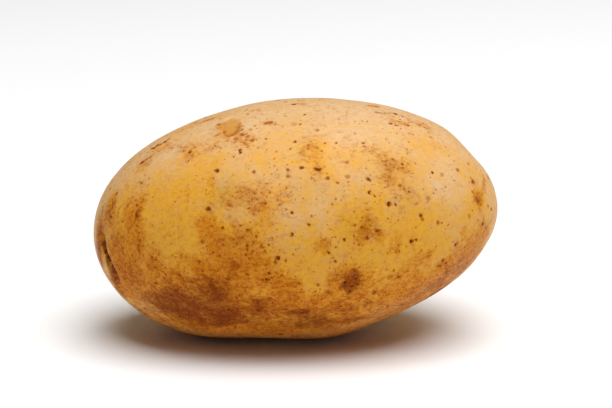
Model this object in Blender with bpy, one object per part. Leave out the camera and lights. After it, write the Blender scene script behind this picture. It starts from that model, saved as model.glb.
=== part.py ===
"""A whole unpeeled potato: one solid tuber, lying on its own small flat.

Run it with blender --background --python part.py, or from Blender's text editor.
Metres, +Z up. The stem end, where the tuber hung on the plant, is at -X and the bud
end at +X. The front is at -Y. The origin is at the middle of the base.
"""

import math
from typing import NamedTuple

import bmesh
import bpy
from mathutils import Matrix, Vector

MM = 0.001

LENGTH = 109.5 * MM  # from stem end to bud end, along the tuber's own axis
WIDTH = 69.0 * MM  # from front to back
HEIGHT = 64.5 * MM  # from the crown to the underside
BLUNTNESS = 2.1  # 2 gives an ellipsoid, and more fills out both ends
TIP_UP = math.radians(6.4)  # how far the bud end is tipped up as the tuber lies
FLAT_DEPTH = 0.35 * MM  # how much of the underside is worn down to the flat
ICOSPHERE_LEVEL = 5  # 5120 triangles, 2.5 to 4 mm across on the tuber
TIP_SECTION = 1e-9  # below this share of the round section a direction points at a tip

SKIN_COLOUR = (0.60, 0.34, 0.11, 1.0)
SKIN_ROUGHNESS = 0.5
SMOOTH_BELOW = math.radians(20)


class Swell(NamedTuple):
    """A rounded rise of the surface, or a hollow where its rise is negative."""

    along: float  # -1 at the stem end, 1 at the bud end
    around: float  # degrees round the long axis: 0 on top, 90 in front, 180 below
    reach: float  # how far out the rise has fallen to about a third
    rise: float


SWELLS = {
    "bud tip": Swell(0.99, 160, 10 * MM, 0.85 * MM),
    "bud shoulder": Swell(0.92, -12, 7 * MM, -0.95 * MM),
    "lower bud hollow": Swell(0.5, 168, 16 * MM, -0.8 * MM),
    "belly": Swell(0.1, 168, 11 * MM, 1.1 * MM),
    "waist": Swell(-0.22, 162, 12 * MM, -1.1 * MM),
    "stem belly": Swell(-0.62, 172, 17 * MM, 1.1 * MM),
    "stem end": Swell(-1.0, 0, 12 * MM, -0.25 * MM),
    "crown": Swell(-0.02, -12, 14 * MM, 0.35 * MM),
    "stem shoulder": Swell(-0.8, -12, 13 * MM, 0.2 * MM),
    "crown hollow": Swell(0.42, -12, 12 * MM, -0.15 * MM),
    "back swell": Swell(-0.3, -100, 18 * MM, 1.2 * MM),
    "back hollow": Swell(0.35, -80, 14 * MM, -1.0 * MM),
    "lower back swell": Swell(0.6, -140, 12 * MM, 0.6 * MM),
}


def on_plain_body(direction):
    """The point of the tuber, before its swells, that a unit vector points to."""
    along = max(-1.0, min(1.0, direction.x))
    round_section = 1 - along * along
    if round_section < TIP_SECTION:
        return Vector((along * LENGTH / 2, 0, 0))
    fullness = math.sqrt((1 - abs(along) ** BLUNTNESS) / round_section)
    return Vector(
        (
            along * LENGTH / 2,
            direction.y * fullness * WIDTH / 2,
            direction.z * fullness * HEIGHT / 2,
        )
    )


def outward(point):
    """The way out of the skin at a point of the plain body."""
    return Vector(
        (
            point.x / LENGTH**2,
            point.y / WIDTH**2,
            point.z / HEIGHT**2,
        )
    ).normalized()


def centre_of(swell):
    section = math.sqrt(1 - swell.along**2)
    angle = math.radians(swell.around)
    return on_plain_body(
        Vector((swell.along, -section * math.sin(angle), section * math.cos(angle)))
    )


def swollen(point, centres):
    """Where a point of the plain body lies once the swells have grown."""
    rise = sum(
        swell.rise * math.exp(-(((point - centre).length / swell.reach) ** 2))
        for swell, centre in centres
    )
    return point + outward(point) * rise


def grow_tuber(bm):
    bmesh.ops.create_icosphere(bm, subdivisions=ICOSPHERE_LEVEL, radius=1.0)
    centres = [(swell, centre_of(swell)) for swell in SWELLS.values()]
    for vert in bm.verts:
        vert.co = swollen(on_plain_body(vert.co.normalized()), centres)


def lay_down(bm):
    """Tips the bud end up and wears the underside down to the flat."""
    bmesh.ops.rotate(
        bm, cent=(0, 0, 0), matrix=Matrix.Rotation(-TIP_UP, 3, "Y"), verts=bm.verts
    )
    lowest = min(vert.co.z for vert in bm.verts)
    bmesh.ops.bisect_plane(
        bm,
        geom=[*bm.verts, *bm.edges, *bm.faces],
        plane_co=(0, 0, lowest + FLAT_DEPTH),
        plane_no=(0, 0, -1),
        clear_outer=True,
    )
    rim = [edge for edge in bm.edges if edge.is_boundary]
    bmesh.ops.holes_fill(bm, edges=rim, sides=0)
    bmesh.ops.recalc_face_normals(bm, faces=bm.faces)


def stand_on_origin(bm):
    """Moves the middle of the base to the origin."""
    low, high = (
        Vector(pick(vert.co[axis] for vert in bm.verts) for axis in range(3))
        for pick in (min, max)
    )
    to_origin = Vector((-(low.x + high.x) / 2, -(low.y + high.y) / 2, -low.z))
    bmesh.ops.translate(bm, vec=to_origin, verts=bm.verts)


def skin_material():
    material = bpy.data.materials.new("potato_skin")
    material.use_nodes = True
    skin = material.node_tree.nodes["Principled BSDF"]
    skin.inputs["Base Color"].default_value = SKIN_COLOUR
    skin.inputs["Roughness"].default_value = SKIN_ROUGHNESS
    skin.inputs["Metallic"].default_value = 0.0
    return material


def make_potato():
    bm = bmesh.new()
    grow_tuber(bm)
    lay_down(bm)
    stand_on_origin(bm)
    mesh = bpy.data.meshes.new("potato")
    bm.to_mesh(mesh)
    bm.free()
    mesh.shade_smooth()
    mesh.set_sharp_from_angle(angle=SMOOTH_BELOW)
    mesh.materials.append(skin_material())
    potato = bpy.data.objects.new("potato", mesh)
    bpy.context.scene.collection.objects.link(potato)


def main():
    for obj in list(bpy.data.objects):
        bpy.data.objects.remove(obj)
    make_potato()


main()
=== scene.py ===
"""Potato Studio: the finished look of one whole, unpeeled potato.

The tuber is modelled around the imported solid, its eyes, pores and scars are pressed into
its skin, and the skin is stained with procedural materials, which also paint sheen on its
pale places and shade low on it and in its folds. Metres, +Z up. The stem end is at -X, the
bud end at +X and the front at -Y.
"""

import math
import random
from typing import NamedTuple

import bpy
import numpy as np
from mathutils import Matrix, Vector


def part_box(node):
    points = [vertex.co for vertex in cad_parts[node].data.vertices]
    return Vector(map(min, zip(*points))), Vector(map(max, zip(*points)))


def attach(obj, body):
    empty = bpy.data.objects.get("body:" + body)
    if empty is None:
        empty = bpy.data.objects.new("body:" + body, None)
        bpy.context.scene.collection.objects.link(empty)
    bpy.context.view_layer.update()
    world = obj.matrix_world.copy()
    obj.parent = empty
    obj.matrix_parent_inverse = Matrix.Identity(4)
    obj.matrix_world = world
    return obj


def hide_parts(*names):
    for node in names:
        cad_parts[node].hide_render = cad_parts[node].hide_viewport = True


bl_info = {
    "name": "Potato Studio",
    "version": (1, 0, 0),
    "blender": (4, 5, 0),
    "location": "View3D > Sidebar > Potato",
    "description": "Models a potato around its packed solid and sets it on a stage",
    "category": "Add Mesh",
}

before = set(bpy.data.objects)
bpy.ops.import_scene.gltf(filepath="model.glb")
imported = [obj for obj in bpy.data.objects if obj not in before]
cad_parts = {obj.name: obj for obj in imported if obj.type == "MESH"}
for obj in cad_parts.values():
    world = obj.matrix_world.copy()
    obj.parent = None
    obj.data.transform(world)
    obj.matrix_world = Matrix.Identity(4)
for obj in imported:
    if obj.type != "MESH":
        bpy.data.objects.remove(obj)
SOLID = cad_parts["potato"]
LOWEST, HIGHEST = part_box("potato")
MIDDLE = (LOWEST + HIGHEST) / 2
SIZE = HIGHEST - LOWEST
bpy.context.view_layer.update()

MM = 0.001


class Pore(NamedTuple):
    """A breathing pore, or a speck like one."""

    x: float  # mm from the middle towards the bud end
    around: float  # degrees from the top, by way of the front
    size: float  # mm across
    darkness: float = 0.85


class Patch(NamedTuple):
    """A stain with a soft edge, as an oval on the skin."""

    x: float
    around: float
    length: float  # mm from its middle to its end, along the tuber
    height: float  # mm from its middle to its side, round the tuber
    strength: float  # from 0 to 1
    turn: float = 0.0  # degrees that its bud end is turned down


class Eye(NamedTuple):
    """A bud in a hollow, under a brow on its stem side."""

    x: float
    around: float
    width: float  # mm from one end of the brow to the other
    depth: float  # mm
    turn: float  # degrees that its bud side is turned down
    dirt_and_shade: float = 1.0  # how dark the dirt and painted shade in it are


def each(kind, *rows):
    """A mark of one kind from each row."""
    return tuple(kind(*row) for row in rows)


PORE_REACH = 0.65  # how far a pore's stain reaches from its middle, as a share of its size
PORE_WIDTHS = ((0.0, 0.95), (0.95, 1.25), (1.25, 9.0))  # mm, of the pits pressed together
PORE_GAP = 3.5 * MM  # the least between a scattered pore and any other
PORE_ENDS = 52  # mm from the middle, past which no pore is scattered
HALF_LENGTH = 55  # mm from the middle, where the scattered pores have thinned to none
FRONT_SHARE = 0.16  # how often a scattered pore is drawn for the front
FRONT_AROUND, REST_AROUND = (10, 140), (140, 370)  # degrees
FRONT_SIZES, REST_SIZES = (0.6, 1.0), (0.7, 1.5)  # mm

# Pores that are placed one by one, on the front and the crown
PORES = each(
    Pore,
    (23.7, 69, 1.6, 1),
    (25.3, 69, 0.8, 0.85),
    (5.7, 54, 1.2, 0.92),
    (4.8, 53.5, 0.9, 0.5),
    (6.7, 53.5, 0.8, 0.6),
    (1.6, 53, 0.9, 0.8),
    (-1.8, 54, 1.1, 0.7),
    (-1.9, 57, 1.2, 0.6),
    (-7.8, 24, 1, 0.6),
    (-6.5, 24, 1.1, 0.6),
    (-0.3, 27, 1.4, 0.3),
    (5.6, 32, 1.1, 0.5),
    (-0.1, 39, 1.1, 0.8),
    (-1.2, 43, 1, 0.7),
    (3.4, 41, 1, 0.6),
    (17.4, 39, 1.1, 0.8),
    (13.1, 50, 1.2, 0.5),
    (13.2, 57, 1.1, 0.5),
    (18.5, 58, 1.1, 0.9),
    (8.1, 58, 1, 0.7),
    (10.6, 60, 1, 0.7),
    (18.7, 64, 0.8, 1),
    (20, 65.5, 0.6, 0.9),
    (29.7, 27, 1, 0.5),
    (35.6, 24, 1.2, 0.4),
    (35.3, 50, 1, 1),
    (38, 50, 1.4, 0.4),
    (42.3, 43, 1.2, 0.6),
    (45.6, 32, 1.1, 0.5),
    (33.9, 65, 1.3, 0.5),
    (31.9, 74, 1.3, 0.9),
    (32.4, 76, 1.1, 0.6),
    (36.6, 78, 1.3, 0.7),
    (29.5, 87, 1.3, 0.95),
    (30.8, 86.5, 1),
    (41.6, 94, 1.4, 0.9),
    (18.1, 84, 1.3, 0.8),
    (20.7, 81, 1.2, 0.8),
    (49.4, 82, 1.2, 0.9),
    (26.5, 106, 1, 0.8),
    (37.5, 106, 1.1, 0.7),
    (38.2, 103, 1.1, 0.7),
    (38.6, 129, 2.2, 0.6),
    (28, 132, 1.4, 0.8),
    (20.2, 113, 1.8, 0.7),
    (-14.1, 43, 1.3, 0.9),
    (-14.2, 41.5, 1, 0.9),
    (-20, 52, 1.4),
    (-22.1, 71, 1.4),
    (-27.4, 36, 1.6, 0.9),
    (-0.9, 73, 1.2, 0.9),
    (-1, 82, 1.1, 0.8),
    (3.5, 78, 0.7, 0.8),
    (8.4, 90, 1.2, 0.9),
    (10.1, 94, 1.1, 0.7),
    (0.7, 104, 1.6, 0.5),
    (5.7, 105, 1, 0.6),
    (8.3, 109, 1, 0.6),
    (-48.5, 74, 1, 0.9),
    (-23.5, 86, 1.2, 0.6),
    (-8.4, 87.5, 0.8, 0.8),
    (-6.9, 86.5, 0.6, 0.8),
    (-4.5, 92, 1.1, 0.9),
    (-5.2, 94, 1.1, 0.8),
    (-6.8, 99, 1.1, 0.8),
    (-7.1, 102, 1.1, 0.9),
    (-5.4, 110, 1.3, 0.6),
    (-28.6, 131, 1.2, 0.7),
    (-35.5, 135, 1, 0.7),
    (-21.2, 129, 1, 0.8),
    (-15.8, 134, 1, 0.7),
    (-3.9, 142, 2.4, 0.9),
    (51, 62, 1, 0.7),
    (52.1, 64, 1, 0.7),
    (-50.8, 112, 1.5, 1),
    (-50.1, 115.5, 1.8, 1),
    (-48.3, 122.5, 1.6, 0.95),
    (-36.2, 103, 1.2, 0.6),
    (-33.8, 108, 1, 0.6),
    (-29.8, 104, 1.1, 0.6),
    # The specks beside the flake scar
    (-20.2, 17, 1.4, 0.63),
    (-18.5, 26, 1.4, 0.63),
    (-19.7, 10, 1, 0.42),
    (-14, 27, 1.2, 0.56),
    (-13.7, 31, 1.2, 0.63),
    (-12.3, 33, 1.1, 0.56),
    (-11.1, 36, 1.2, 0.63),
    (-12.2, 40, 1.1, 0.49),
    (-11.6, 28, 0.9, 0.49),
    (-15.4, 33, 1.1, 0.49),
    (-12.8, 38, 1, 0.42),
    (-9.5, 41, 1, 0.35),
    (-7.8, 39, 0.9, 0.28),
    # The dark dashes at the stem end of the crown
    (-38.1, 14, 1.6, 0.95),
    (-37.3, 15, 1.6, 0.9),
    (-36.6, 13.5, 1.5, 0.9),
    (-35.7, 15, 1.2, 0.8),
    (-34.6, 14, 1.5, 0.9),
    (-33.6, 12.5, 1.2, 0.6),
    (-40.4, 27, 1.8, 0.9),
    (-39.2, 26.5, 1.4, 0.6),
    (-38.2, 26, 1.4, 0.5),
    (-24, 5, 1.4, 0.5),
    (-23, 5, 1.5, 0.7),
    (-22, 4.5, 1.3, 0.6),
    # The spots round the eye at the bud end
    (46.6, 46.5, 1.3, 0.8),
    (45.9, 44, 0.8, 0.5),
    (48, 61, 0.9, 0.6),
    (48.5, 56, 0.7, 0.4),
    # The pits in the scab
    (12.6, 105, 1.2, 1),
    (14.4, 107.5, 1, 0.9),
    (15.4, 103.5, 1, 0.8),
    (14, 110, 1, 0.8),
    (15.8, 106.5, 0.9, 0.7),
    (13.4, 102, 0.9, 0.6),
    # The dotted scratch on the crown
    (21.4, 12.5, 0.8, 0.5),
    (22.6, 12, 0.7, 0.6),
    (23.9, 11, 0.7, 0.7),
    (25.1, 9.5, 0.8, 0.7),
    (26.6, 9, 1.1, 0.9),
    (28.5, 9.5, 1.2, 0.9),
    (29.8, 13, 0.8, 0.6),
    (31, 14, 0.8, 0.5),
    (26, 14, 0.9, 0.7),
    (27.6, 15, 0.9, 0.7),
    (24.9, 22, 0.9, 0.7),
    (26.4, 22.5, 1.2, 0.9),
    (29.5, 20, 0.9, 0.7),
)

EYES = each(
    Eye,
    (48, 59, 3.6, 0.35, -50, 0.25),
    (52, 27, 3.6, 0.4, -40, 0.6),
    (50.5, -75, 5.5, 0.6, 20),
    (45, -30, 6.5, 0.7, -20),
    (44, 172, 6, 0.7, 0),
    (30, -112, 7.5, 0.9, 15),
    (16, -48, 8, 0.9, -10),
    (-4, -118, 8.5, 1, 10),
    (-18, -62, 8, 0.9, -15),
    (-33, -130, 7.5, 0.8, 10),
)

# Yellow-brown, grainy staining; the broad washes low on the front and on the underside, and some at
# the lower ends, are painted shade
RUSSET = each(
    Patch,
    # Stem end
    (-44, 80, 4.5, 7, 0.55),
    (-41, 74, 2, 5, 0.55, 15),
    (-48.5, 64, 2.5, 5, 0.7),
    (-40.5, 95, 2.2, 3.5, 0.7),
    (-43, 93, 3, 3, 0.5),
    (-36.5, 104, 3, 2.5, 0.8),
    (-31, 107, 3, 4, 0.7),
    (-36, 122, 5, 3.5, 0.6),
    (-47, 128, 3.5, 7, 0.9),
    (-40, 116, 7, 6, 0.82),
    (-44, 122, 4, 6, 0.8),
    (-47, 106, 3, 8, 0.75),
    (-50, 80, 3, 6, 0.4),
    (-50, 97, 3, 5, 0.2),
    (-42, 84, 4, 5, 0.4),
    (-42, 127, 5, 5, 0.6),
    (-40, 32, 3.5, 3, 0.5),
    (-35, 22, 4, 3, 0.55),
    # Front, between the stem end and the middle
    (-27, 95, 4, 4, 0.35),
    (-37.5, 90, 3.5, 4, 0.35),
    (-36, 72, 12, 12, 0.2),
    (2, 112, 6, 5, 0.15),
    (0.5, 96, 4, 3, 0.2),
    (-22.5, 83, 3.5, 5, 0.75),
    (-15, 86, 8, 6, 0.65),
    (-15, 99, 10, 5.5, 0.9),
    (-22, 100, 5, 4, 0.75),
    (-8, 100, 6, 4.5, 0.27),
    (-18, 110, 9, 4, 0.7),
    (-3, 108, 5, 4, 0.5),
    (-8, 117, 7, 4, 0.65),
    (-25, 118, 12, 7, 0.8, 8),
    (-23, 77, 4, 2.5, 0.5),
    (-21.5, 60, 1.5, 5, 0.45),
    (-16, 66, 5, 4, 0.45),
    (-8, 66, 9, 4.5, 0.42),
    (-8, 74, 3.5, 4, 0.48),
    (-29, 62, 4, 1.5, 0.4),
    # Crown, from the stem end to the bud end
    (-15.3, 24, 1.6, 2.6, 0.6, 30),
    (-19.5, 19, 1.2, 2.5, 0.5),
    (-27.5, 36, 3, 4, 0.35),
    (-22, 36, 6.5, 5.5, 0.22),
    (-18, 27, 4.5, 3, 0.6),
    (-13, 34, 3.5, 3.5, 0.42),
    (-24, 6, 8, 2.5, 0.4),
    (-8, 24, 3, 1.5, 0.4),
    (4, 41, 4, 3.5, 0.38),
    (5.5, 50, 2.6, 4.5, 0.46),
    (2, 8, 14, 3, 0.3),
    (19, 46, 8, 4.5, 0.36),
    (26, 53, 5, 4.5, 0.3, 10),
    (24, 57, 4, 3, 0.28),
    (28, 49, 2.5, 2.5, 0.3),
    (24, 61, 5, 4, 0.26),
    (30, 65, 3, 4, 0.2, 30),
    (24.5, 11, 5, 2, 0.34),
    (33, 13, 4, 2.2, 0.5, 10),
    (28, 19, 4, 1.6, 0.5),
    (37.5, 31, 3, 2, 0.4),
    (20.8, 2, 2, 1.5, 0.8),
    # Front, between the middle and the bud end
    (28, 87, 4, 3, 0.32),
    (13, 74, 5, 5, 0.32),
    (18.5, 76, 3.5, 5, 0.2),
    (21.5, 84, 1.6, 2.5, 0.7),
    (17, 83, 3, 3, 0.42),
    (25.5, 88, 3, 3, 0.45),
    (31, 98, 5, 2.8, 0.65, -15),
    (6.5, 87, 2.8, 3, 0.6),
    (0.5, 104, 1.8, 2, 0.7),
    (14, 104.5, 6, 6, 0.75),
    # The next two, weak washes low on the front, are painted shade
    (30, 102, 14, 6, 0.28),
    (-35, 98, 7, 5, 0.3),
    (44, 86, 1.4, 2, 0.55),
    (48, 59, 3, 3.5, 0.8),
    (50, 40, 1.5, 4, 0.5),
    (1, 116, 8, 4.5, 0.6),
    (8, 119, 8, 2.5, 0.5),
    (13, 130, 7, 4, 0.6),
    (2, 130, 9, 6, 0.7),
    (27, 136, 10, 4, 0.8, -15),
    (30, 125, 6, 2, 0.45, -15),
    (38, 106, 5, 1.6, 0.5, -25),
    (20, 113, 2.2, 1.6, 0.6),
    # The next one, low at the stem end, is stain and painted shade
    (-52.3, 108, 3, 7, 0.9),
    (27, 114, 9, 5, 0.65),
    (40, 116, 8, 4, 0.7, -20),
    # The next one, low at the bud end, is stain and painted shade
    (47, 106, 9, 7, 0.8),
    (36, 118, 14, 4.5, 0.75, -12),
    (40, 126, 14, 5, 0.8, -14),
    # The next two, broad washes low on the front and along its lower rim, are painted shade
    (-5, 122, 38, 10, 0.6),
    (-5, 145, 42, 12, 0.65),
    (-45, 116, 6, 7, 0.55),
    # Underside: broad washes of stain and painted shade
    (-32, 143, 9, 5, 0.6),
    (-12, 140, 14, 6, 0.75),
    (18, 158, 14, 10, 0.7),
    (-25, 170, 16, 10, 0.75),
    (36, 165, 8, 9, 0.6),
    # Back
    (5, -40, 16, 8, 0.6, 10),
    (-25, -85, 12, 10, 0.75),
    (25, -100, 13, 9, 0.75),
    (0, -150, 18, 8, 0.7),
    (38, -60, 8, 9, 0.55),
    (-45, -40, 6, 9, 0.65),
)

# Dark brown staining; the broad band low on the front, the bands along the lower rim, and the
# patches on the underside are painted shade
UMBER = each(
    Patch,
    (-23, 109, 4, 3.5, 0.6),
    (-31, 119, 5, 3.5, 0.72, 10),
    (-26, 121, 9, 6.5, 0.92),
    (-20, 117, 4, 3.5, 0.65),
    (-22, 124, 5, 4, 0.82),
    (-19, 131, 4, 3, 0.8),
    (-30, 130, 7, 2.5, 0.75, 5),
    (-23, 116, 4, 3, 0.5),
    (-13, 123, 6, 5, 0.48),
    (-18, 108, 9, 3.5, 0.35),
    (-2, 122, 12, 3.5, 0.3),
    # The next one, a broad band low on the front, is painted shade
    (2, 126, 30, 8, 0.32),
    (17, 122, 7, 2.5, 0.35, -10),
    (-41, 120, 5, 5, 0.24),
    (-22, 118, 15, 9, 0.22),
    (-38, 133, 9, 5, 0.28, 33),
    (-28, 139, 7, 3, 0.42, 15),
    (-49.8, 119, 1.6, 3, 0.95),
    (-42, 118, 4, 4, 0.2),
    (-47.5, 148, 5, 3, 0.5, 23),
    # The next two, along the lower rim and where the front turns under towards the bud end, are
    # painted shade
    (36, 149, 14, 5.5, 0.95, -10),
    (38, 120, 12, 4, 0.42, -14),
    (-8, 116, 4, 3, 0.35),
    (-15, 98, 6, 3, 0.4),
    (-40.7, 72, 0.9, 3, 0.6, 20),
    (-48.5, 65, 1.8, 3.5, 0.45),
    (-45, 84, 1.5, 4, 0.35),
    (-40.5, 95, 1.2, 2, 0.45),
    (5.6, 53.5, 1.2, 0.9, 0.6),
    (4, 48, 9, 4.5, 0.22),
    (18.5, 77, 1.5, 3, 0.1),
    (14, 104.5, 3.8, 4.2, 0.5),
    (14, 133, 6, 2, 0.5, -8),
    (2, 128, 7, 4, 0.45),
    (5.5, 130, 1, 3, 0.5),
    (2, 120, 6, 1, 0.5),
    (27, 138, 9, 2.5, 0.22, -15),
    (48, 60, 2.2, 2, 0.75),
    (46.4, 46.5, 1, 1.3, 0.6, 30),
    (-48.5, 126, 2, 7, 0.8),
    # The next one, low at the stem end, is stain and painted shade
    (-52.3, 112, 2, 6, 0.75),
    (-35, 125, 5, 3.5, 0.4),
    # The next two, on the underside, are stain and painted shade
    (-5, 175, 16, 7, 0.6),
    (-38, 162, 9, 7, 0.55),
    (-14, -128, 10, 6, 0.8),
    (32, -140, 9, 6, 0.6),
)

# Greenish tinge, where the skin has seen light
OLIVE = each(
    Patch,
    (-18, 65, 6, 5, 0.6),
    (-14, 84, 4, 3, 0.45),
    (2, 128, 9, 4.5, 0.9),
    (-8, 136, 6, 3, 0.6),
    (4, 60, 5, 4, 0.3),
    (16, 79, 4.5, 4, 0.5),
    (3, 42, 4, 3, 0.25),
    (24, 50, 8, 6, 0.42),
    (29, 64, 4, 5, 0.22, 30),
    (-20, -30, 12, 9, 0.6),
    (20, -75, 9, 7, 0.5),
)

# Clean, bright yellow skin
GOLDEN = each(
    Patch,
    (-31, 88, 7, 8, 1),
    (-36, 66, 8, 7, 0.42),
    (-24, 64, 6, 5, 0.1),
    (-9, 51, 9, 6, 0.2),
    (-40, 49, 8, 8, 0.22),
    (40, 75, 9, 9, 0.7),
    (47, 66, 6, 12, 0.5),
    (30, 90, 12, 6, 0.85),
    (4, 92, 9, 8, 0.9),
    (22, 106, 12, 5, 0.7),
    (-38, 108, 8, 6, 0.8),
    (-47, 104, 4, 8, 0.8),
    (-2, 114, 20, 6, 0.6),
    (25, 113, 10, 5, 0.6),
    (-24, -55, 12, 8, 0.8),
    (30, -45, 12, 10, 0.8),
)

# Pale, pinkish skin and painted sheen: the paler crown, the pale band along the top outline and the
# pale rims low on the front stand in for the sheen and reflection of the light
BUFF_AND_SHEEN = each(
    Patch,
    # Painted sheen on pale skin: the crown and the top outline
    (8, 14, 34, 8, 0.9),
    (5, 32, 26, 6, 0.48),
    (0, -2, 42, 8, 0.9),
    (-16, 18, 16, 6, 0.6),
    (-28, 32, 9, 6, 0.25),
    # Painted reflection: a pale rim low on the front, towards the bud end
    (22, 138, 9, 3.5, 1, -15),
    # Pale places on the front and the crown, partly painted sheen
    (3, 42, 9, 4, 0.3),
    (33, 60, 9, 7, 0.5),
    (39, 62, 7, 8, 0.38),
    (-14, 68, 9, 6, 0.2),
    (4, 74, 8, 7, 0.24),
    (22, 46, 30, 8, 0.2),
    (-18, 26, 8, 3, 0.7),
    (-12, 25, 6, 5, 0.35),
    (-40, 28, 12, 4, 0.3, 10),
    (-52, 50, 2.5, 8, 0.3),
    # Painted reflection: pale rims along the lower edge of the front
    (-38, 137, 10, 4.5, 1, 33),
    (-27, 148, 12, 4, 1, 15),
    (-8, 147, 14, 5, 1),
    (38, 117, 17, 4, 0.75, -12),
    (40, 123, 14, 5, 0.6, -14),
    (36.3, 57, 1.2, 0.7, 0.8),
    (38, 48, 12, 11, 0.16),
    (20, 84, 3, 2.5, 0.45),
    (0, -20, 25, 9, 0.8),
    (-35, -110, 10, 8, 0.8),
)

# The crease at the stem end, from its upper end down, as (x, around)
CREASE = ((-51.5, 97), (-50.6, 109), (-49.3, 115), (-47.6, 123), (-46.9, 132), (-46.0, 144))
STEM_SCAR = (-52.0, -150)
SCAB = (14.1, 104.5)
SCABS = each(
    Patch,
    (14.1, 106, 2.6, 2.4, 0.85),
    (15.2, 102, 1.5, 2.2, 0.75),
    (14.8, 99, 1, 0.9, 0.7),
    (12.4, 107, 1, 1, 0.7),
    (13.6, 110, 0.9, 1.4, 0.6),
    (*STEM_SCAR, 2.6, 2.6, 1),
)
FLAKE = (-16.8, 21.5)
FLAKE_LENGTH, FLAKE_HEIGHT = 2.5 * MM, 5.0 * MM  # from its middle to its rim
FLAKE_RIM = 0.92  # how far out its rim is darkest, where 1 is the edge of its oval
OFF_FLAKE = 9.0  # stands for every place that is far outside its oval
LEAST_AWAY = 1e-6  # m from its middle, so that nothing is divided by 0

# The thickest dirt and painted shade in the crease, as lines of (x, around)
DIRT_AND_SHADE = (
    ((-51.4, 106), (-50.9, 110), (-50.3, 113), (-49.8, 116)),
    ((-48.3, 122), (-48.0, 124)),
)

# Where the front turns under, towards the bud end, as (x, around)
UNDERSIDE_EDGE = ((23, 124), (36, 115), (47, 113))
FLAT_REACH = 0.12 * MM  # skin this close to the floor is laid flat on it

# How fine the skin's noises are, in cells to the metre
BROAD, CLOUD, MOTTLE, GRAIN, JITTER = 42, 190, 520, 1500, 1400
WEAVE = (850, 1150, 1150)  # a little longer along the tuber
SHAKE = (0.9 * MM, 0.9 * MM, 0.9 * MM)  # the whole swing that shakes specks out of round

# Specks, small ones first: cells to the metre, largest size in cells, the least and the
# largest share of the cells that hold one, and strength
SPECKS = (
    (1500, 0.62, 0.11, 0.85, 0.75),
    (800, 0.50, 0.065, 0.60, 0.90),
    (380, 0.26, 0.03, 0.30, 1.00),
)

LIGHT_PLACE = Vector((0.42, -0.40, 2.4))  # m, overhead, to the right and in front
TUBER_MIDDLE = Vector((-0.5, -0.3, 32.2)) * MM  # the camera's distance is measured from here
AIM_OFFSET = Vector((3.4, 0, 4.2)) * MM  # from there to where the camera is aimed


def length(name, description, default):
    """A length property, in metres."""
    return bpy.props.FloatProperty(
        name=name, description=description, default=default, subtype="DISTANCE", unit="LENGTH"
    )


def share(name, description, default):
    """A property from 0 to 1."""
    return bpy.props.FloatProperty(
        name=name, description=description, default=default, min=0.0, max=1.0, subtype="FACTOR"
    )


def colour(name, description, default):
    """A colour property, in linear red, green and blue."""
    return bpy.props.FloatVectorProperty(
        name=name,
        description=description,
        default=default,
        size=3,
        min=0.0,
        max=1.0,
        subtype="COLOR",
    )


class TuberShape(bpy.types.PropertyGroup):
    """Sizes of the tuber's own form."""

    cage_cuts: bpy.props.IntProperty(
        name="Cage cuts",
        description="Cuts across each side of the cube that the tuber starts from",
        default=15,
        min=3,
        max=15,
    )
    lump_height: length("Lump height", "How far the soft lumps rise and fall", 0.35 * MM)
    lump_size: length("Lump size", "How far apart the soft lumps are", 11 * MM)
    grain_height: length("Grain height", "How far the rough skin rises and falls", 0.10 * MM)
    pore_depth: length("Pore depth", "Depth of the pits at the pores", 0.12 * MM)
    crease_depth: length("Crease depth", "Depth of the fold at the stem end", 1.2 * MM)
    pore_count: bpy.props.IntProperty(
        name="Pores elsewhere",
        description="How many pores are scattered over the rest of the skin",
        default=190,
        min=0,
    )
    seed: bpy.props.IntProperty(
        name="Seed",
        description="Where the scattered pores fall",
        default=12,
    )


class SkinLook(bpy.types.PropertyGroup):
    """Colours and finish of the skin."""

    golden: colour("Golden", "Clean yellow skin", (0.78, 0.390, 0.033))
    # This pale pinkish colour is also the painted sheen of the light on the crown and along the
    # outline
    buff_and_sheen: colour("Buff", "Pale, pinkish skin", (0.75, 0.50, 0.27))
    russet: colour("Russet", "Tint of the yellow-brown staining", (0.84, 0.62, 0.32))
    umber: colour("Umber", "Tint of the dark brown staining", (0.48, 0.305, 0.15))
    olive: colour("Olive", "Greenish tinge", (0.40, 0.23, 0.018))
    # The pore colour also darkens the crease, as dirt and painted shade
    pore: colour("Pore", "Dark middle of a pore", (0.170, 0.028, 0.003))
    pit: colour("Pit", "Deepest part of the darkest pores", (0.045, 0.014, 0.002))
    halo: colour("Pore rim", "Red-brown rim of a pore", (0.40, 0.092, 0.006))
    speck: colour("Speck", "Tint of the small brown specks", (0.56, 0.25, 0.08))
    # The scab colour also darkens the eye hollows and the folds under their brows, as dirt and
    # painted shade
    scab: colour("Scab", "Rough scab and the dirt in the eyes", (0.19, 0.028, 0.004))
    crust: colour("Crust", "Pale crumbs of a scab", (0.55, 0.20, 0.070))
    flake: colour("Flake", "Skin under the flaked spot", (0.52, 0.222, 0.056))
    roughness: share("Roughness", "Roughness of clean skin", 0.42)
    sheen: share("Sheen", "Pale bloom where the skin turns away", 0.02)


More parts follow.
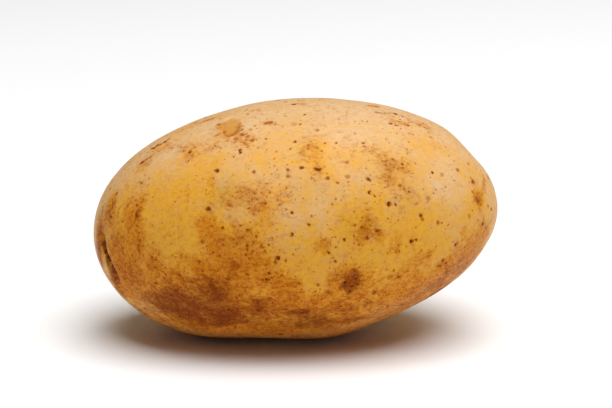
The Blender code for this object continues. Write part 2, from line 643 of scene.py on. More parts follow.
class StageSetup(bpy.types.PropertyGroup):
    """Sizes and colours of the floor, the light and the camera."""

    floor_colour: colour("Floor", "Colour of the floor", (0.93, 0.93, 0.93))
    floor_size: length("Floor size", "Side of the square floor", 6.0)
    light_power: bpy.props.FloatProperty(
        name="Light power",
        description="Power of the soft light overhead",
        default=87.0,
        unit="POWER",
    )
    light_size: length("Light size", "Side of the soft light overhead", 2.2)
    fill: bpy.props.FloatProperty(
        name="Fill",
        description="Strength of the white all round",
        default=0.10,
        min=0.0,
    )
    elevation: bpy.props.FloatProperty(
        name="Camera elevation",
        description="How far above level the camera looks down from",
        default=math.radians(15),
        subtype="ANGLE",
        unit="ROTATION",
    )
    distance: length("Camera distance", "From the camera to the tuber's middle", 0.4615)
    lens: bpy.props.FloatProperty(
        name="Lens",
        description="Focal length of the camera",
        default=100.0,
        subtype="DISTANCE_CAMERA",
        unit="CAMERA",
    )


def place(x, around):
    """(point, outward normal) of the solid's skin at a place given in mm and degrees."""
    turn = math.radians(around)
    start = Vector((MIDDLE.x + x * MM, MIDDLE.y, MIDDLE.z))
    outward = Vector((0, -math.sin(turn), math.cos(turn)))
    found, point, normal, _ = SOLID.ray_cast(start, outward)
    if not found:
        raise ValueError(f"no skin at {x} mm and {around} degrees")
    return point, normal if normal.dot(outward) > 0 else -normal


def skin_frame(x, around, turn=0.0):
    """(point, along, down, normal): the skin's own directions, turned about its normal."""
    point, normal = place(x, around)
    along = (Vector((1, 0, 0)) - normal * normal.x).normalized()
    down = along.cross(normal)
    cos, sin = math.cos(math.radians(turn)), math.sin(math.radians(turn))
    return point, along * cos + down * sin, down * cos - along * sin, normal


def points_of(piece):
    """Every vertex of a piece, as an array of rows."""
    flat = np.empty(len(piece.data.vertices) * 3, np.float32)
    piece.data.vertices.foreach_get("co", flat)
    return flat.reshape(-1, 3).astype(float)


def distance_to(points, spot):
    """How far each point is from a spot."""
    return np.linalg.norm(points - np.array(spot), axis=1)


def distance_to_line(points, line):
    """How far each point is from a line drawn through some places."""
    nearest = np.full(len(points), np.inf)
    for start, end in zip(line, line[1:]):
        start, end = np.array(start), np.array(end)
        span = end - start
        part = np.clip((points - start) @ span / (span @ span), 0, 1)
        away = np.linalg.norm(points - start - part[:, None] * span, axis=1)
        nearest = np.minimum(nearest, away)
    return nearest


def only(piece):
    """Makes a piece the one that operators act on."""
    bpy.ops.object.select_all(action="DESELECT")
    piece.select_set(True)
    bpy.context.view_layer.objects.active = piece


def choose(piece, chosen):
    """Selects some vertices of a piece, and nothing else."""
    if not chosen.any():
        raise ValueError(f"no vertex of {piece.name} was chosen")
    only(piece)
    for parts in (piece.data.edges, piece.data.polygons):
        parts.foreach_set("select", np.zeros(len(parts), bool))
    piece.data.vertices.foreach_set("select", chosen)


def press(piece, chosen, rise, reach, falloff="SMOOTH"):
    """Raises the chosen vertices along the skin's normal, and their surroundings less."""
    choose(piece, chosen)
    bpy.ops.object.mode_set(mode="EDIT")
    bpy.ops.transform.shrink_fatten(
        value=rise,
        use_proportional_edit=True,
        proportional_edit_falloff=falloff,
        proportional_size=reach,
    )
    bpy.ops.object.mode_set(mode="OBJECT")


def finish_with(piece, kind, **settings):
    """Adds a modifier and applies it."""
    only(piece)
    modifier = piece.modifiers.new(kind.title(), kind)
    for name, value in settings.items():
        setattr(modifier, name, value)
    bpy.ops.object.modifier_apply(modifier=modifier.name)


def subdivide(piece):
    """Cuts every face into four and smooths them."""
    finish_with(piece, "SUBSURF", levels=1, render_levels=1)


def make_body(shape):
    """A ball of even squares, drawn onto the solid and smoothed."""
    bpy.ops.object.select_all(action="DESELECT")
    bpy.ops.mesh.primitive_cube_add(size=1, location=MIDDLE)
    piece = bpy.context.object
    piece.name = piece.data.name = "potato_skin"
    bpy.ops.object.mode_set(mode="EDIT")
    bpy.ops.mesh.select_all(action="SELECT")
    bpy.ops.mesh.mark_seam()
    bpy.ops.mesh.subdivide(number_cuts=shape.cage_cuts)
    bpy.ops.transform.tosphere(value=1.0)
    bpy.ops.object.mode_set(mode="OBJECT")
    bpy.context.view_layer.update()
    stretch = [room / made for room, made in zip(SIZE, piece.dimensions)]
    bpy.ops.object.mode_set(mode="EDIT")
    bpy.ops.transform.resize(value=stretch)
    bpy.ops.object.mode_set(mode="OBJECT")
    bpy.ops.object.transform_apply(location=True, rotation=False, scale=False)
    for _ in range(2):
        finish_with(piece, "SHRINKWRAP", target=SOLID, wrap_method="NEAREST_SURFACEPOINT")
        subdivide(piece)
    return piece


def unwrap(piece):
    """Six sheets, one for each side of the cube that the tuber started from."""
    only(piece)
    piece.data.uv_layers.active.name = "OFBake"
    bpy.ops.object.mode_set(mode="EDIT")
    bpy.ops.mesh.select_all(action="SELECT")
    bpy.ops.uv.unwrap(method="ANGLE_BASED", margin=0.01)
    bpy.ops.object.mode_set(mode="OBJECT")


def add_lumps(piece, shape):
    """Soft swells and hollows all over."""
    texture = bpy.data.textures.new("lumps", "CLOUDS")
    texture.noise_scale = shape.lump_size
    texture.noise_depth = 2
    finish_with(
        piece,
        "DISPLACE",
        texture=texture,
        texture_coords="LOCAL",
        strength=shape.lump_height,
        mid_level=0.5,
    )


def make_stem_end(piece, shape):
    """The fold in front of the stem end, its lip, and the scar where the stem was."""
    points = points_of(piece)
    fold = [place(*spot)[0] for spot in CREASE]
    folded = distance_to_line(points, fold) < 0.55 * MM
    press(piece, folded, rise=-shape.crease_depth, reach=2.4 * MM, falloff="SHARP")
    lip = []
    for spot in CREASE[1:]:
        point, along, _, _ = skin_frame(*spot)
        lip.append(point + along * 2.6 * MM)
    press(piece, distance_to_line(points, lip) < 0.6 * MM, rise=0.35 * MM, reach=2.6 * MM)
    scar = distance_to(points, place(*STEM_SCAR)[0]) < 0.8 * MM
    press(piece, scar, rise=-1.3 * MM, reach=4.5 * MM)
    press(piece, scar, rise=0.35 * MM, reach=1.5 * MM)


def brow_line(eye):
    """The arc of the brow, on the stem side of the eye."""
    point, along, down, _ = skin_frame(eye.x, eye.around, eye.turn)
    half = eye.width * MM / 2
    return [
        point + down * half * side - along * half * 0.45 * (1 - side * side)
        for side in (-1, -0.66, -0.33, 0, 0.33, 0.66, 1)
    ]


def make_eye(piece, eye):
    """Presses the hollow, draws the fold under the brow, and raises the brow and the bud."""
    point, along, down, _ = skin_frame(eye.x, eye.around, eye.turn)
    depth, half = eye.depth * MM, eye.width * MM / 2
    points = points_of(piece)
    hollow = distance_to(points, point + along * half * 0.1) < half * 0.35
    press(piece, hollow, rise=-depth, reach=half * 1.25)
    fold = brow_line(eye)
    folded = distance_to_line(points, fold) < 0.35 * MM
    press(piece, folded, rise=-depth * 0.55, reach=0.9 * MM, falloff="SHARP")
    brow = [spot - along * 0.9 * MM for spot in fold[1:-1]]
    raised = distance_to_line(points, brow) < 0.4 * MM
    press(piece, raised, rise=depth * 0.5, reach=1.5 * MM)
    for side in (-0.35, 0.1, 0.45):
        away = distance_to(points, point + down * half * side * 0.8 - along * half * 0.05)
        bud = away <= max(away.min(), 0.3 * MM)
        press(piece, bud, rise=depth * 0.45, reach=0.75 * MM)


def flake_oval(points):
    """(0 in the middle of the flaked spot to 1 at its rim, and 1 towards the side of its rim that
    is painted darkest, as painted shade).
    """
    point, along, down, _ = skin_frame(*FLAKE)
    offset = points - np.array(point)
    across, below = offset @ np.array(along), offset @ np.array(down)
    oval = np.hypot(across / FLAKE_LENGTH, below / FLAKE_HEIGHT)
    oval[distance_to(points, point) > 2 * FLAKE_HEIGHT] = OFF_FLAKE
    side = (across + below) / np.maximum(np.hypot(across, below), LEAST_AWAY) / math.sqrt(2)
    return oval, (side + 1) / 2


def make_scars(piece):
    """The scab and the flaked spot."""
    points = points_of(piece)
    away = distance_to(points, place(*SCAB)[0])
    press(piece, away < 1.6 * MM, rise=-0.35 * MM, reach=1.8 * MM, falloff="SPHERE")
    press(piece, np.abs(away - 3.6 * MM) < 0.3 * MM, rise=0.12 * MM, reach=1.2 * MM)
    oval, _ = flake_oval(points)
    press(piece, oval < FLAKE_RIM, rise=-0.18 * MM, reach=0.7 * MM, falloff="SPHERE")


def make_underside_edge(piece):
    """The soft edge where the front turns under, towards the bud end."""
    edge = [place(*spot)[0] for spot in UNDERSIDE_EDGE]
    away = distance_to_line(points_of(piece), edge)
    press(piece, away < 0.8 * MM, rise=0.25 * MM, reach=4.5 * MM)


def scattered_pores(shape):
    """Pores over the rest of the skin, none of them close to another."""
    draw = random.Random(shape.seed)
    taken = [place(pore.x, pore.around)[0] for pore in PORES]
    pores = []
    while len(pores) < shape.pore_count:
        x = draw.uniform(-PORE_ENDS, PORE_ENDS)
        if draw.random() > math.sqrt(1 - (x / HALF_LENGTH) ** 2):
            continue
        front = draw.random() < FRONT_SHARE
        around = draw.uniform(*(FRONT_AROUND if front else REST_AROUND))
        point, _ = place(x, around)
        if min((point - other).length for other in taken) < PORE_GAP:
            continue
        taken.append(point)
        size = draw.uniform(*(FRONT_SIZES if front else REST_SIZES))
        pores.append(Pore(x, around, size, draw.uniform(0.3, 1.0)))
    return pores


def press_pores(piece, pores, shape):
    """Pits of three widths, all those of a width at once."""
    points = points_of(piece)
    for low, high in PORE_WIDTHS:
        chosen = np.zeros(len(points), bool)
        widths = []
        for pore in pores:
            if not low <= pore.size < high:
                continue
            away = distance_to(points, place(pore.x, pore.around)[0])
            chosen |= away <= max(away.min(), pore.size * 0.22 * MM)
            widths.append(pore.size)
        width = sum(widths) / len(widths)
        press(piece, chosen, rise=-shape.pore_depth * width, reach=0.75 * width * MM)


def lay_flat(piece):
    """Lays the lowest skin flat on the floor."""
    choose(piece, points_of(piece)[:, 2] < FLAT_REACH)
    bpy.ops.object.mode_set(mode="EDIT")
    bpy.ops.transform.resize(value=(1, 1, 0), center_override=(0, 0, 0))
    bpy.ops.object.mode_set(mode="OBJECT")


def add_grain(piece, shape):
    """Roughens the skin, most where it is stained or scabbed."""
    masks = np.empty(len(piece.data.vertices), np.float32)
    total = np.full(len(masks), 0.25, np.float32)
    for name, roughening in (("russet", 0.35), ("umber", 0.4), ("scab", 1.0)):
        piece.data.attributes[name].data.foreach_get("value", masks)
        total += masks * roughening
    group = piece.vertex_groups.new(name="rough")
    steps = np.clip(np.round(total, 1), 0, 1)
    for weight in np.unique(steps):
        group.add(np.flatnonzero(steps == weight).tolist(), float(weight), "REPLACE")
    texture = bpy.data.textures.new("grain", "CLOUDS")
    texture.noise_scale = 1.3 * MM
    texture.noise_depth = 3
    finish_with(
        piece,
        "DISPLACE",
        texture=texture,
        texture_coords="LOCAL",
        strength=shape.grain_height,
        mid_level=0.5,
        vertex_group="rough",
    )


def patch_mask(points, patches, edge=1.5):
    """How strongly each point is stained, from 0 to 1. A higher edge makes crisper patches."""
    clean = np.ones(len(points))
    for patch in patches:
        point, along, down, normal = skin_frame(patch.x, patch.around, patch.turn)
        offset = (points - np.array(point)) / MM
        oval = (offset @ np.array(along) / patch.length) ** 2
        oval += (offset @ np.array(down) / patch.height) ** 2
        oval += (offset @ np.array(normal) / (patch.length + patch.height)) ** 2
        clean *= 1 - patch.strength * np.exp(-(oval**edge))
    return 1 - clean


def pore_masks(points, pores):
    """How deep into its nearest pore each point lies, from 0 to 1, and how dark that pore is."""
    inside = np.full(len(points), -1.0)
    dark = np.zeros(len(points))
    for pore in pores:
        away = distance_to(points, place(pore.x, pore.around)[0])
        cone = 1 - (away - away.min()) / (pore.size * PORE_REACH * MM)
        nearer = cone > inside
        inside[nearer] = cone[nearer]
        dark[nearer] = pore.darkness
    return np.maximum(inside, 0), dark


def scab_mask(points):
    """The scab, the eyes and the stem's scar; the eye hollows and the folds under their brows are
    darkened as dirt and painted shade.
    """
    mask = patch_mask(points, SCABS)
    for eye in EYES:
        point, along, _, _ = skin_frame(eye.x, eye.around, eye.turn)
        away = distance_to(points, point)
        # Dirt and painted shade in the eye's hollow and in the fold under its brow
        hollow = np.exp(-((away / (eye.width * 0.3 * MM)) ** 2))
        mask = np.maximum(mask, 0.75 * eye.dirt_and_shade * hollow)
        away = distance_to_line(points, brow_line(eye))
        mask = np.maximum(mask, 0.9 * eye.dirt_and_shade * np.exp(-((away / (0.55 * MM)) ** 2)))
    return mask


def dirt_and_shade_mask(points):
    """Dirt and painted shade in the crease, thickest in a few places."""
    mask = np.zeros(len(points))
    for spots, width, strength in ((CREASE, 0.7, 0.6), *((line, 1.4, 1.0) for line in DIRT_AND_SHADE)):
        away = distance_to_line(points, [place(*spot)[0] for spot in spots])
        mask = np.maximum(mask, strength * np.exp(-((away / (width * MM)) ** 2)))
    return mask


def store(piece, name, values):
    """Keeps one value at each vertex, under a name."""
    attribute = piece.data.attributes.new(name, "FLOAT", "POINT")
    attribute.data.foreach_set("value", np.asarray(values, np.float32))


def mark_skin(piece, pores):
    """Stores where the skin is stained, and where sheen and shade are painted on it, so that the
    material can read it.
    """
    points = points_of(piece)
    for name, patches, edge in (
        ("russet", RUSSET, 1.5),
        ("umber", UMBER, 1.2),
        ("olive", OLIVE, 1.0),
        ("golden", GOLDEN, 0.8),
        ("buff_and_sheen", BUFF_AND_SHEEN, 0.8),
    ):
        store(piece, name, patch_mask(points, patches, edge))
    inside, dark = pore_masks(points, pores)
    store(piece, "pore", inside)
    store(piece, "pore_dark", dark)
    oval, side = flake_oval(points)
    store(piece, "flake", 1 - oval)
    # The rim is darker all round, and darkest on one side as painted shade of its step
    store(piece, "flake_rim_and_shade", np.exp(-(((oval - FLAKE_RIM) / 0.20) ** 2)) * (0.2 + 0.8 * side))
    store(piece, "scab", scab_mask(points))
    store(piece, "dirt_and_shade", dirt_and_shade_mask(points))


class Sheet:
    """Adds nodes to a node tree. Each step returns the socket that the next one reads."""

    def __init__(self, tree):
        self.tree = tree
        self.tree.nodes.clear()

    def node(self, kind, inputs=None, **settings):
        made = self.tree.nodes.new(kind)
        made.location = (220 * (len(self.tree.nodes) % 12), -260 * (len(self.tree.nodes) // 12))
        for name, value in settings.items():
            setattr(made, name, value)
        for name, value in (inputs or {}).items():
            self.feed(made.inputs[name], value)
        return made

    def feed(self, socket, value):
        """Joins a socket to another one, or sets its value."""
        if isinstance(value, bpy.types.NodeSocket):
            self.tree.links.new(value, socket)
        else:
            socket.default_value = value

    def sum(self, operation, *values, clamp=False):
        made = self.node("ShaderNodeMath", operation=operation, use_clamp=clamp)
        for socket, value in zip(made.inputs, values):
            self.feed(socket, value)
        return made.outputs[0]

    def plus(self, value, extra, part):
        """value, and a part of extra on top of it."""
        return self.sum("ADD", value, self.sum("MULTIPLY", extra, part))

    def noise(self, where, scale, detail, roughness, distortion=0.0):
        inputs = {
            "Vector": where,
            "Scale": scale,
            "Detail": detail,
            "Roughness": roughness,
            "Distortion": distortion,
        }
        return self.node("ShaderNodeTexNoise", inputs).outputs["Fac"]

    def stretched(self, where, scale):
        """Places scaled differently along each axis."""
        return self.node("ShaderNodeMapping", {"Vector": where, "Scale": scale}).outputs[0]

    def between(self, value, low, high, start=0.0, end=1.0):
        """start below low, end above high, and a smooth rise from one to the other."""
        inputs = {"Value": value, "From Min": low, "From Max": high, "To Min": start, "To Max": end}
        made = self.node("ShaderNodeMapRange", inputs, interpolation_type="SMOOTHSTEP")
        return made.outputs["Result"]

    def mix(self, amount, first, second, blend="MIX"):
        """Mixes two colours, each of them a socket or red, green and blue."""
        made = self.node("ShaderNodeMix", data_type="RGBA", blend_type=blend)
        self.feed(made.inputs[0], amount)
        for socket, value in ((made.inputs[6], first), (made.inputs[7], second)):
            joined = isinstance(value, bpy.types.NodeSocket)
            self.feed(socket, value if joined else (*value, 1.0))
        return made.outputs[2]

    def tint(self, skin, amount, stain, strength):
        """Multiplies the skin by a stain's colour."""
        return self.mix(self.sum("MULTIPLY", amount, strength), skin, stain, "MULTIPLY")

    def mask(self, name):
        """A mask that is stored on the mesh."""
        return self.node("ShaderNodeAttribute", attribute_name=name).outputs["Fac"]


def speckle_group():
    """Small round specks. Share is how many of the cells hold one."""
    group = bpy.data.node_groups.new("Speckle", "ShaderNodeTree")
    for name, kind in (
        ("Place", "NodeSocketVector"),
        ("Scale", "NodeSocketFloat"),
        ("Size", "NodeSocketFloat"),
        ("Share", "NodeSocketFloat"),
    ):
        group.interface.new_socket(name, in_out="INPUT", socket_type=kind)
    group.interface.new_socket("Mask", in_out="OUTPUT", socket_type="NodeSocketFloat")
    sheet = Sheet(group)
    given = sheet.node("NodeGroupInput")
    cells = sheet.node(
        "ShaderNodeTexVoronoi",
        {"Vector": given.outputs["Place"], "Scale": given.outputs["Scale"], "Randomness": 1.0},
    )
    chance = sheet.node("ShaderNodeSeparateColor", {"Color": cells.outputs["Color"]})
    edge = sheet.sum("MULTIPLY", given.outputs["Size"], chance.outputs["Green"])
    inside = sheet.between(cells.outputs["Distance"], edge, sheet.sum("MULTIPLY", edge, 0.5))
    there = sheet.sum("LESS_THAN", chance.outputs["Red"], given.outputs["Share"])
    taken = sheet.node("NodeGroupOutput")
    sheet.feed(taken.inputs["Mask"], sheet.sum("MULTIPLY", inside, there))
    return group


class Noises(NamedTuple):
    """The noises that break up the skin, and the swings either side of 0 made from them."""

    broad: bpy.types.NodeSocket
    cloud: bpy.types.NodeSocket
    mottle: bpy.types.NodeSocket
    grain: bpy.types.NodeSocket
    weave: bpy.types.NodeSocket
    ragged: bpy.types.NodeSocket
    fine: bpy.types.NodeSocket
    woven: bpy.types.NodeSocket


def skin_noises(sheet, where):
    """From broad to grain they get finer, and weave is drawn out along the tuber."""
    cloud = sheet.noise(where, CLOUD, 5.0, 0.62, 0.5)
    grain = sheet.noise(where, GRAIN, 4.0, 0.7)
    weave = sheet.noise(sheet.stretched(where, WEAVE), 1.0, 4.0, 0.68)
    return Noises(
        broad=sheet.noise(where, BROAD, 3.0, 0.5),
        cloud=cloud,
        mottle=sheet.noise(where, MOTTLE, 4.0, 0.65),
        grain=grain,
        weave=weave,
        ragged=sheet.between(cloud, 0.25, 0.75, -0.35, 0.35),
        fine=sheet.between(grain, 0.3, 0.7, -0.35, 0.35),
        woven=sheet.between(weave, 0.3, 0.7, -0.20, 0.20),
    )


def shaken(sheet, where):
    """Places moved a little to and fro, so that the specks aren't round."""
    jitter = sheet.node("ShaderNodeTexNoise", {"Vector": where, "Scale": JITTER, "Detail": 2.0})
    centred = {0: jitter.outputs["Color"], 1: (0.5, 0.5, 0.5)}
    shift = sheet.node("ShaderNodeVectorMath", centred, operation="SUBTRACT").outputs[0]
    moved = {0: shift, 1: SHAKE, 2: where}
    return sheet.node("ShaderNodeVectorMath", moved, operation="MULTIPLY_ADD").outputs[0]


def clean_skin(sheet, look, noise):
    """Golden skin, with pale pinkish places, partly painted sheen, and a greenish tinge."""
    pale = sheet.plus(sheet.mask("buff_and_sheen"), sheet.mask("golden"), -0.65)
    pale = sheet.plus(pale, sheet.mask("russet"), -0.4)
    pale = sheet.plus(pale, sheet.mask("umber"), -0.4)
    pale = sheet.sum("ADD", pale, sheet.between(noise.broad, 0.35, 0.65, -0.15, 0.35))
    pale = sheet.sum("ADD", pale, sheet.between(noise.cloud, 0.3, 0.7, -0.22, 0.22))
    pale = sheet.sum("ADD", pale, sheet.between(noise.mottle, 0.3, 0.7, -0.18, 0.18))
    skin = sheet.mix(sheet.between(pale, -0.3, 1.05), look.golden, look.buff_and_sheen)
    skin = sheet.mix(sheet.between(noise.mottle, 0.40, 0.75, 0.0, 0.16), skin, look.buff_and_sheen)
    skin = sheet.mix(sheet.between(noise.grain, 0.45, 0.70, 0.0, 0.16), skin, look.buff_and_sheen)
    skin = sheet.tint(skin, sheet.between(noise.mottle, 0.35, 0.75), look.russet, 0.42)
    skin = sheet.tint(skin, sheet.between(noise.weave, 0.45, 0.70), look.russet, 0.42)
    skin = sheet.tint(skin, sheet.between(noise.cloud, 0.48, 0.72), look.russet, 0.20)
    uneven = sheet.between(noise.cloud, 0.3, 0.6, 0.5, 1.0)
    tinge = sheet.sum("MULTIPLY", sheet.mask("olive"), uneven)
    return sheet.mix(sheet.sum("MULTIPLY", tinge, 0.6), skin, look.olive)


def stained_skin(sheet, look, noise, skin):
    """(skin, how stained it is): both stains have a soft wash and a ragged middle. Some of their
    patches are painted shade low on the tuber and along its lower rim.
    """
    stain = sheet.plus(sheet.mask("russet"), noise.ragged, 0.8)
    stain = sheet.plus(stain, noise.woven, 0.7)
    stain = sheet.plus(stain, sheet.mask("golden"), -0.15)
    russet = sheet.between(stain, 0.10, 0.72)
    skin = sheet.tint(skin, russet, look.russet, 0.90)
    stain = sheet.sum("ADD", stain, noise.woven)
    stain = sheet.plus(stain, noise.fine, 0.4)
    skin = sheet.tint(skin, sheet.between(stain, 0.50, 1.10), look.russet, 0.80)

    deep = sheet.plus(sheet.mask("umber"), noise.ragged, 0.7)
    deep = sheet.plus(deep, noise.woven, 0.7)
    umber = sheet.between(deep, 0.14, 0.92)
    skin = sheet.tint(skin, umber, look.umber, 0.92)
    deep = sheet.plus(deep, noise.fine, 0.6)
    skin = sheet.tint(skin, sheet.between(deep, 0.6, 1.2), look.umber, 0.55)
    return skin, sheet.sum("MAXIMUM", russet, umber)


def specked_skin(sheet, look, noise, skin, where, stained):
    """(skin, its largest specks): specks in clusters, thicker where the skin is stained."""
    crowd = sheet.sum("MULTIPLY", sheet.between(noise.cloud, 0.38, 0.62, 0.25, 1.0), stained)
    crowd = sheet.sum("MAXIMUM", crowd, sheet.between(noise.cloud, 0.50, 0.66, 0.0, 0.40))
    spots = {"Place": shaken(sheet, where)}
    group = speckle_group()
    for scale, size, fewest, most, strength in SPECKS:
        spots.update(Scale=scale, Size=size, Share=sheet.between(crowd, 0.0, 1.0, fewest, most))
        specks = sheet.node("ShaderNodeGroup", spots, node_tree=group).outputs["Mask"]
        skin = sheet.tint(skin, specks, look.speck, strength)
    return skin, specks


def flaked_skin(sheet, look, noise, skin):
    """The flaked spot: tan inside, with a darker rim that is darkest on one side, as painted shade.
    """
    inside = sheet.between(sheet.plus(sheet.mask("flake"), noise.ragged, 0.55), -0.10, 0.22)
    tan = sheet.mix(sheet.between(noise.mottle, 0.35, 0.65, 0.0, 0.5), look.flake, look.golden)
    skin = sheet.mix(sheet.sum("MULTIPLY", inside, 0.85), skin, tan)
    ring = sheet.plus(sheet.mask("flake_rim_and_shade"), noise.fine, 0.5)
    return sheet.tint(skin, sheet.between(ring, 0.22, 1.00), look.speck, 0.62)


def scabbed_skin(sheet, look, noise, skin):
    """(skin, where it is crusted): scabs and eyes, and the dirt and painted shade in folds."""
    crust = sheet.between(sheet.sum("ADD", sheet.mask("scab"), noise.fine), 0.25, 0.70)
    crumbs = sheet.mix(sheet.between(noise.grain, 0.44, 0.54), look.scab, look.halo)
    crumbs = sheet.mix(sheet.between(noise.mottle, 0.54, 0.62, 0.0, 0.35), crumbs, look.crust)
    skin = sheet.mix(sheet.sum("MULTIPLY", crust, 0.95), skin, crumbs)
    # Dirt and painted shade in the crease, in the dark colour of a pore's middle
    dirt_and_shade = sheet.plus(sheet.mask("dirt_and_shade"), noise.fine, 0.6)
    return sheet.mix(sheet.between(dirt_and_shade, 0.35, 0.85, 0.0, 0.92), skin, look.pore), crust


def pored_skin(sheet, look, noise, skin):
    """(skin, the dark middles of its pores). The middles are smaller in fainter pores."""
    pore = sheet.plus(sheet.mask("pore"), noise.fine, 0.55)
    dark = sheet.mask("pore_dark")
    rim = sheet.between(pore, 0.22, 0.70)
    rim = sheet.sum("MULTIPLY", rim, sheet.between(dark, 0.0, 0.9, 0.2, 0.8))
    skin = sheet.mix(rim, skin, look.halo)
    core = sheet.between(sheet.plus(pore, dark, 0.35), 0.86, 1.12)
    core = sheet.sum("MULTIPLY", core, sheet.between(dark, 0.3, 1.0, 0.1, 1.0))
    skin = sheet.mix(core, skin, look.pore)
    pit = sheet.between(pore, 0.60, 0.95)
    pit = sheet.sum("MULTIPLY", pit, sheet.between(dark, 0.85, 1.0, 0.0, 0.85))
    return sheet.mix(pit, skin, look.pit), core


def skin_roughness(sheet, look, noise, stained, crust, core):
    """Rougher where the skin is stained, crusted or pitted."""
    rough = sheet.between(noise.cloud, 0.3, 0.7, look.roughness - 0.06, look.roughness + 0.08)
    rough = sheet.plus(rough, stained, 0.14)
    rough = sheet.plus(rough, crust, 0.2)
    return sheet.sum("ADD", rough, sheet.sum("MULTIPLY", core, 0.3), clamp=True)


def skin_relief(sheet, noise, specks, crust, core):
    """Relief finer than the mesh."""
    height = sheet.sum("MULTIPLY", noise.grain, 0.5)
    height = sheet.plus(height, noise.mottle, 0.7)
    height = sheet.plus(height, noise.weave, 0.5)
    height = sheet.plus(height, core, -0.35)
    height = sheet.plus(height, specks, -0.3)
    height = sheet.plus(height, crust, sheet.between(noise.grain, 0.3, 0.7))
    inputs = {"Height": height, "Strength": 1.0, "Distance": 0.12 * MM}
    return sheet.node("ShaderNodeBump", inputs).outputs["Normal"]


def skin_material(look):
    """Clean skin with painted sheen, and its stains with painted shade, specks, scars and pores,
    each laid over the one before.
    """
    material = bpy.data.materials.new("potato_skin")
    material.use_nodes = True
    sheet = Sheet(material.node_tree)
    where = sheet.node("ShaderNodeTexCoord").outputs["Object"]
    noise = skin_noises(sheet, where)
    skin = clean_skin(sheet, look, noise)
    skin, stained = stained_skin(sheet, look, noise, skin)
    skin, specks = specked_skin(sheet, look, noise, skin, where, stained)
    skin = flaked_skin(sheet, look, noise, skin)
    skin, crust = scabbed_skin(sheet, look, noise, skin)
    skin, core = pored_skin(sheet, look, noise, skin)

    shader = sheet.node("ShaderNodeBsdfPrincipled")
    sheet.feed(shader.inputs["Base Color"], skin)
    rough = skin_roughness(sheet, look, noise, stained, crust, core)
    sheet.feed(shader.inputs["Roughness"], rough)
    sheet.feed(shader.inputs["Normal"], skin_relief(sheet, noise, specks, crust, core))
    shader.inputs["Specular IOR Level"].default_value = 0.25
    shader.inputs["Specular Tint"].default_value = (1.0, 0.50, 0.12, 1.0)
    shader.inputs["Sheen Weight"].default_value = look.sheen
    shader.inputs["Sheen Roughness"].default_value = 0.35
    shader.inputs["Sheen Tint"].default_value = (1.0, 0.86, 0.78, 1.0)
    shader.inputs["Subsurface Weight"].default_value = 0.06
    shader.inputs["Subsurface Radius"].default_value = (1.0, 0.45, 0.15)
    shader.inputs["Subsurface Scale"].default_value = 1.2 * MM
    target = sheet.node("ShaderNodeOutputMaterial")
    sheet.feed(target.inputs["Surface"], shader.outputs[0])
    return material


class POTATO_OT_tuber(bpy.types.Operator):
    """Models the tuber with its eyes, pores and scars, and stains its skin, with painted sheen and
    shade
    """

    bl_idname = "potato.tuber"
    bl_label = "Tuber"
    bl_options = {"REGISTER", "UNDO"}

    def execute(self, context):
        shape = context.scene.tuber_shape
        piece = make_body(shape)
        add_lumps(piece, shape)
        make_underside_edge(piece)
        unwrap(piece)
        subdivide(piece)
        pores = [*PORES, *scattered_pores(shape)]
        mark_skin(piece, pores)
        make_stem_end(piece, shape)
        for eye in EYES:
            make_eye(piece, eye)
        make_scars(piece)
        press_pores(piece, pores, shape)
        add_grain(piece, shape)
        lay_flat(piece)
        bpy.ops.object.shade_smooth()
        piece.data.materials.clear()
        piece.data.materials.append(skin_material(context.scene.skin_look))
        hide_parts("potato")
        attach(piece, "root")
        return {"FINISHED"}


def make_floor(stage):
    """A wide, matt floor."""
    bpy.ops.object.select_all(action="DESELECT")
    bpy.ops.mesh.primitive_plane_add(size=stage.floor_size)
    floor = bpy.context.object
    floor.name = floor.data.name = "floor"
    material = bpy.data.materials.new("floor")
    material.use_nodes = True
    paint = material.node_tree.nodes["Principled BSDF"]
    paint.inputs["Base Color"].default_value = (*stage.floor_colour, 1.0)
    paint.inputs["Roughness"].default_value = 0.9
    floor.data.materials.append(material)


def facing(start, target):
    """The turn of a light or a camera at start that looks at target."""
    return (target - start).to_track_quat("-Z", "Y").to_euler()


def make_lights(stage):
    """A large soft light overhead, and a dim white all round."""
    bpy.ops.object.select_all(action="DESELECT")
    bpy.ops.object.light_add(type="AREA", location=LIGHT_PLACE)
    light = bpy.context.object
    light.name = light.data.name = "overhead"
    light.rotation_euler = facing(LIGHT_PLACE, MIDDLE)
    light.data.shape = "SQUARE"
    light.data.size = stage.light_size
    light.data.energy = stage.light_power
    world = bpy.data.worlds.new("white_room")
    world.use_nodes = True
    white = world.node_tree.nodes["Background"]
    white.inputs["Color"].default_value = (1, 1, 1, 1)
    white.inputs["Strength"].default_value = stage.fill
    bpy.context.scene.world = world


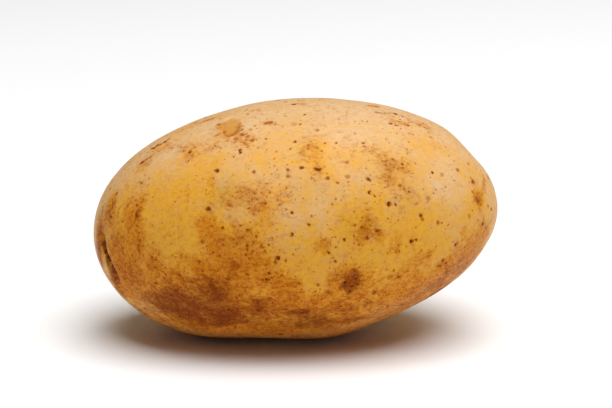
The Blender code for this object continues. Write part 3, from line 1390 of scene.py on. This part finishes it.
def make_camera(stage):
    """A long lens, aimed a little to the right of the tuber's middle and above it."""
    back = Vector((0, -math.cos(stage.elevation), math.sin(stage.elevation)))
    bpy.ops.object.select_all(action="DESELECT")
    bpy.ops.object.camera_add(location=TUBER_MIDDLE + back * stage.distance)
    camera = bpy.context.object
    camera.name = camera.data.name = "camera"
    camera.rotation_euler = facing(camera.location, TUBER_MIDDLE + AIM_OFFSET)
    camera.data.lens = stage.lens
    camera.data.sensor_width = 36
    camera.data.clip_start = 0.01
    bpy.context.scene.camera = camera


class POTATO_OT_stage(bpy.types.Operator):
    """Adds the floor, the soft light and the camera"""

    bl_idname = "potato.stage"
    bl_label = "Stage"
    bl_options = {"REGISTER", "UNDO"}

    def execute(self, context):
        stage = context.scene.stage_setup
        make_floor(stage)
        make_lights(stage)
        make_camera(stage)
        context.scene.view_settings.view_transform = "Standard"
        return {"FINISHED"}


class POTATO_PT_panel(bpy.types.Panel):
    """Lists the steps and their settings"""

    bl_idname = "POTATO_PT_panel"
    bl_label = "Potato"
    bl_space_type = "VIEW_3D"
    bl_region_type = "UI"
    bl_category = "Potato"

    def draw(self, context):
        for step, settings in (
            ("potato.tuber", (context.scene.tuber_shape, context.scene.skin_look)),
            ("potato.stage", (context.scene.stage_setup,)),
        ):
            box = self.layout.box()
            box.operator(step)
            for group in settings:
                for name in group.__annotations__:
                    box.prop(group, name)


CLASSES = (TuberShape, SkinLook, StageSetup, POTATO_OT_tuber, POTATO_OT_stage, POTATO_PT_panel)


def register():
    for cls in CLASSES:
        bpy.utils.register_class(cls)
    bpy.types.Scene.tuber_shape = bpy.props.PointerProperty(type=TuberShape)
    bpy.types.Scene.skin_look = bpy.props.PointerProperty(type=SkinLook)
    bpy.types.Scene.stage_setup = bpy.props.PointerProperty(type=StageSetup)


def unregister():
    del bpy.types.Scene.stage_setup
    del bpy.types.Scene.skin_look
    del bpy.types.Scene.tuber_shape
    for cls in reversed(CLASSES):
        bpy.utils.unregister_class(cls)


def main():
    register()
    bpy.ops.potato.tuber()
    bpy.ops.potato.stage()


if __name__ == "__main__":
    main()
